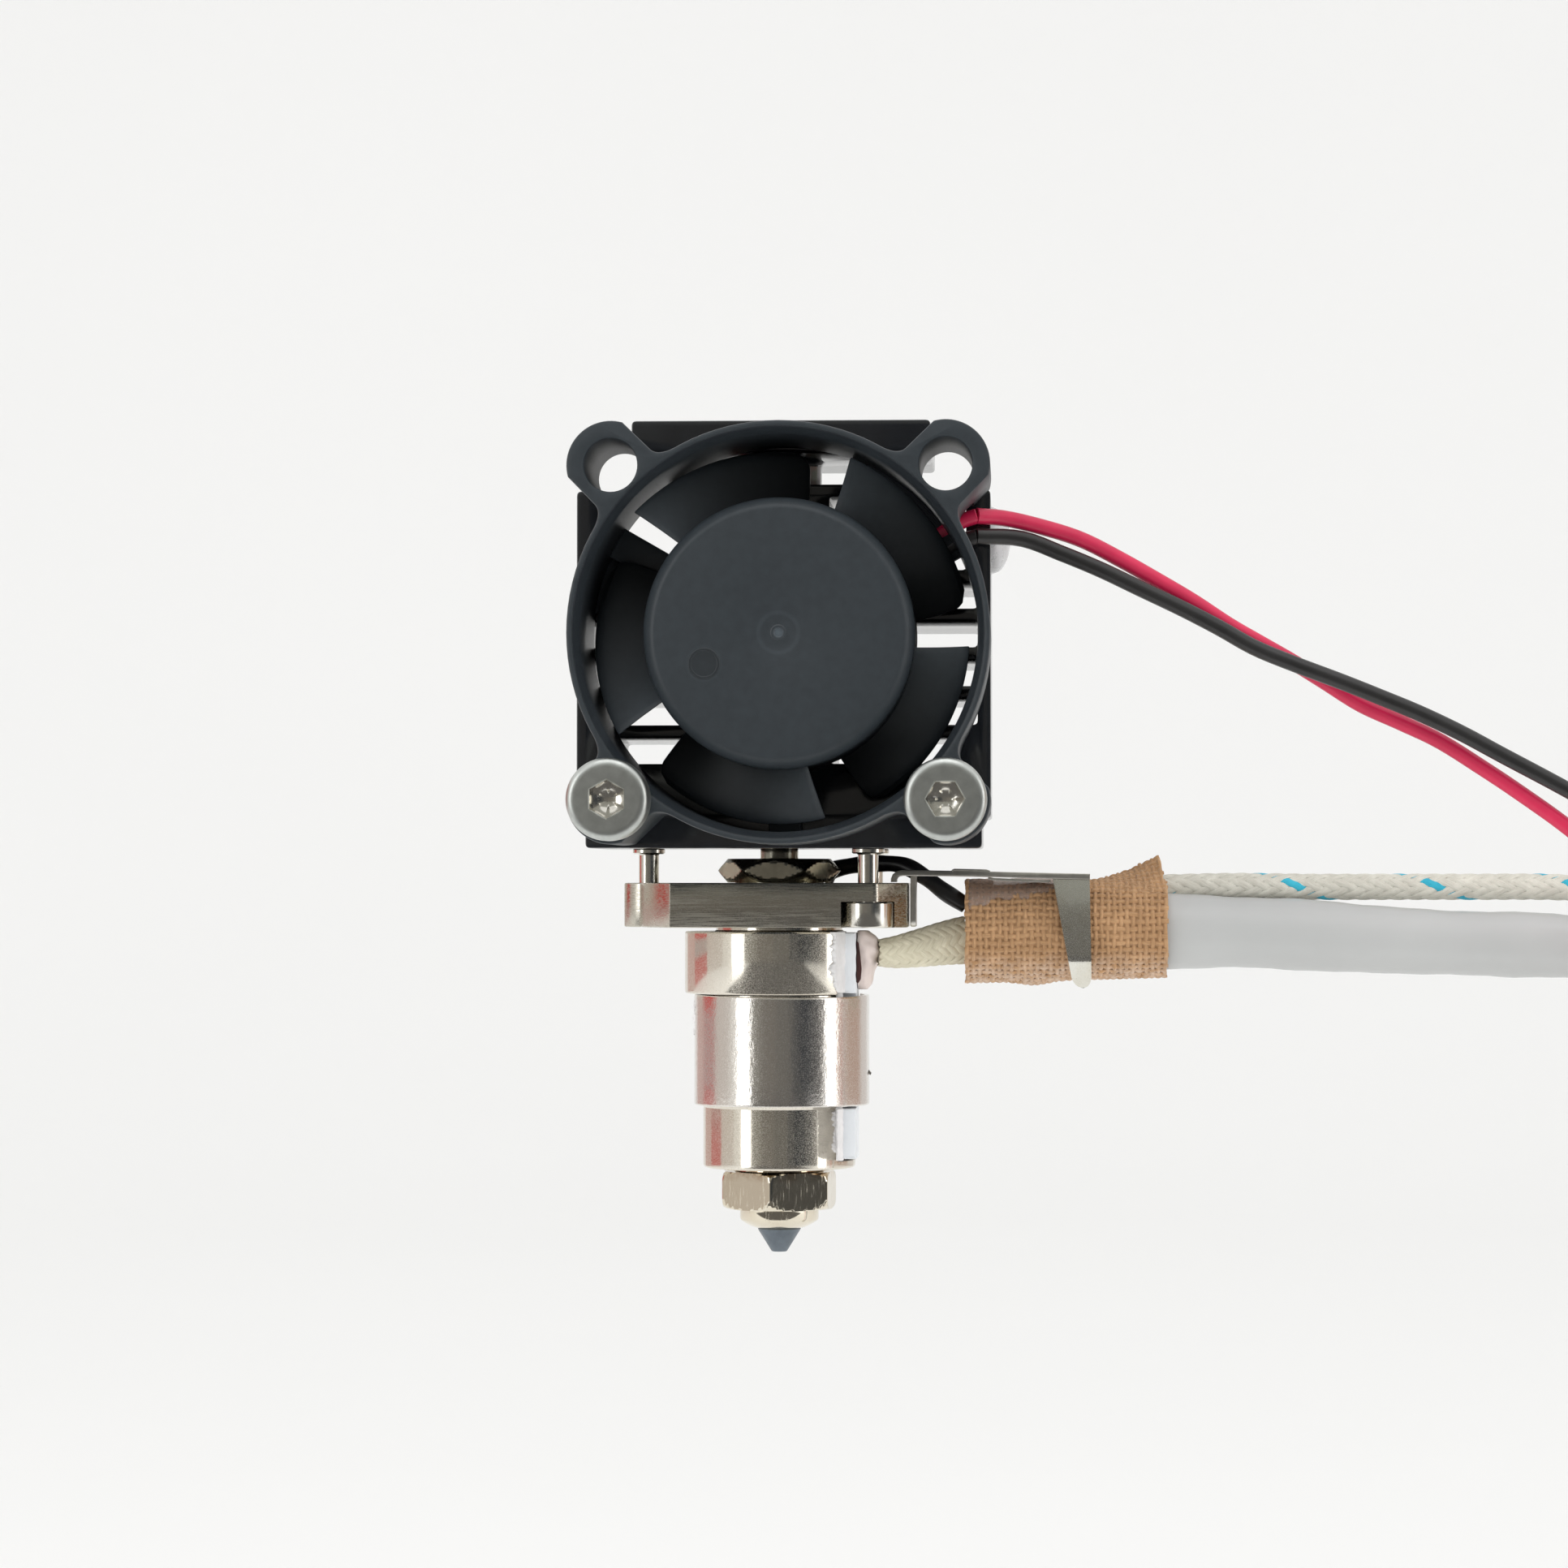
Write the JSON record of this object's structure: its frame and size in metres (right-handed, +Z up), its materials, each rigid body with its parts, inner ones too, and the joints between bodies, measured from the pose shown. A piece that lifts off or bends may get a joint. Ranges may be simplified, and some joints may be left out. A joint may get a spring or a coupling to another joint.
{
  "type": "hotend assembly",
  "caption": "Fan-cooled filament hotend with a finned heatsink, a clamped round heater core, a hexagonal nozzle, strapped leads and hanging connectors.",
  "frame": {"origin": "on the heatsink's flat back face, on its centre line and level with the fan's centre", "axes": "+Y out of the heatsink's back face, towards the carriage; +Z up, with the nozzle pointing along -Z; the fan faces -Y and the leads leave towards +X"},
  "size_m": [0.0893, 0.0275, 0.107],
  "materials": {
    "black_anodised": "matt black anodised, slightly dusty under the fins",
    "black_plastic": "fine matt moulded",
    "nickel_plate": "bright nickel plate, lightly scratched",
    "ground_steel": "ground and nickel plated, fine lines",
    "screw_steel": "satin stainless",
    "dark_steel": "dark, hardened",
    "spring_steel": "bright sprung sheet",
    "copper": "varnished copper",
    "sintered_bronze": "porous bronze",
    "ferrite": "matt bonded magnet",
    "circuit_board": "green solder mask",
    "alumina": "smooth white ceramic",
    "cement": "rough white cement with a pink cast",
    "ptfe": "waxy white",
    "clear_glue": "clear white, glossy",
    "cream_braid": "braided glass fibre",
    "brown_cloth": "varnished glass cloth, plain weave",
    "grey_jacket": "smooth pale grey sleeve",
    "black_sleeve": "soft black sleeve",
    "red_insulation": "smooth red insulation",
    "black_insulation": "smooth black insulation",
    "natural_nylon": "natural nylon"
  },
  "bodies": {
    "hotend": {"heatsink": "black_anodised", "glue_dab": "clear_glue", "fan_frame": "black_plastic", "fan_bearing": "sintered_bronze", "stator_core": "spring_steel", "stator_coil_1": "copper", "stator_coil_2": "copper", "stator_coil_3": "copper", "stator_coil_4": "copper", "fan_circuit_board": "circuit_board", "fan_screw_left": "screw_steel", "fan_screw_right": "screw_steel", "heat_break": "dark_steel", "ptfe_liner": "ptfe", "grub_screw": "dark_steel", "clamp_plate": "ground_steel", "tie_stud_left": "ground_steel", "tie_screw_front": "ground_steel", "tie_screw_rear": "ground_steel", "heater_core": "nickel_plate", "thermal_cement": "cement", "ceramic_heater": "alumina", "spring_sleeve": "spring_steel", "potting_cement": "cement", "thermistor": "spring_steel", "nozzle_body": "nickel_plate", "nozzle_tip": "dark_steel", "heater_lead_sleeve": "cream_braid", "thermistor_lead_sleeve": "black_sleeve", "cable_bracket": "spring_steel", "cable_wrap": "brown_cloth", "fan_wire_red": "red_insulation", "fan_wire_black": "black_insulation", "fan_connector": "natural_nylon", "heater_cable": "grey_jacket", "heater_connector": "natural_nylon", "thermistor_cable": "cream_braid", "thermistor_connector": "natural_nylon"},
    "fan_rotor": {"fan_impeller": "black_plastic", "rotor_yoke": "spring_steel", "rotor_magnet": "ferrite", "fan_shaft": "spring_steel"}
  },
  "joints": [
    {"name": "fan_spin", "type": "hinge", "parent": "hotend", "child": "fan_rotor", "pos_m": [0.0002, -0.0205, 0], "axis": [0, -1, 0], "continuous": true}
  ]
}
